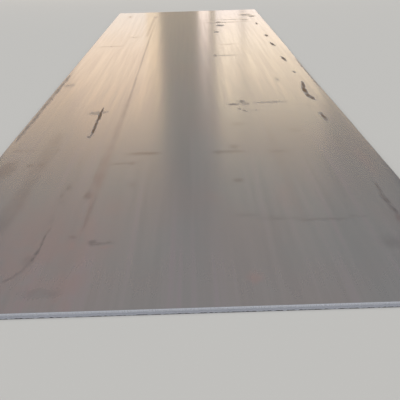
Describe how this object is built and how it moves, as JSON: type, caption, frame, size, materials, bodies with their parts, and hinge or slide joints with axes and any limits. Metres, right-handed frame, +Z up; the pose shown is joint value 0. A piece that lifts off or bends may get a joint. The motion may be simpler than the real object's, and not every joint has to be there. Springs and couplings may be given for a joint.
{
  "type": "steel plate",
  "caption": "Long flat rectangular hot-rolled steel plate with rounded rolled long edges and square sheared ends, lying on its broad face.",
  "frame": {"origin": "centre of the underside, on the surface that the plate lies on", "axes": "+X across the plate, +Y along the rolling direction towards the end whose lower corner the shear drew in, +Z up through the thickness"},
  "size_m": [1.5, 12, 0.014],
  "materials": {
    "mill_scale_steel": "hot-rolled carbon steel under grey-brown mill scale, semi-gloss, with rust streaks and dark scars"
  },
  "bodies": {
    "root": {"plate": "mill_scale_steel"}
  },
  "joints": []
}
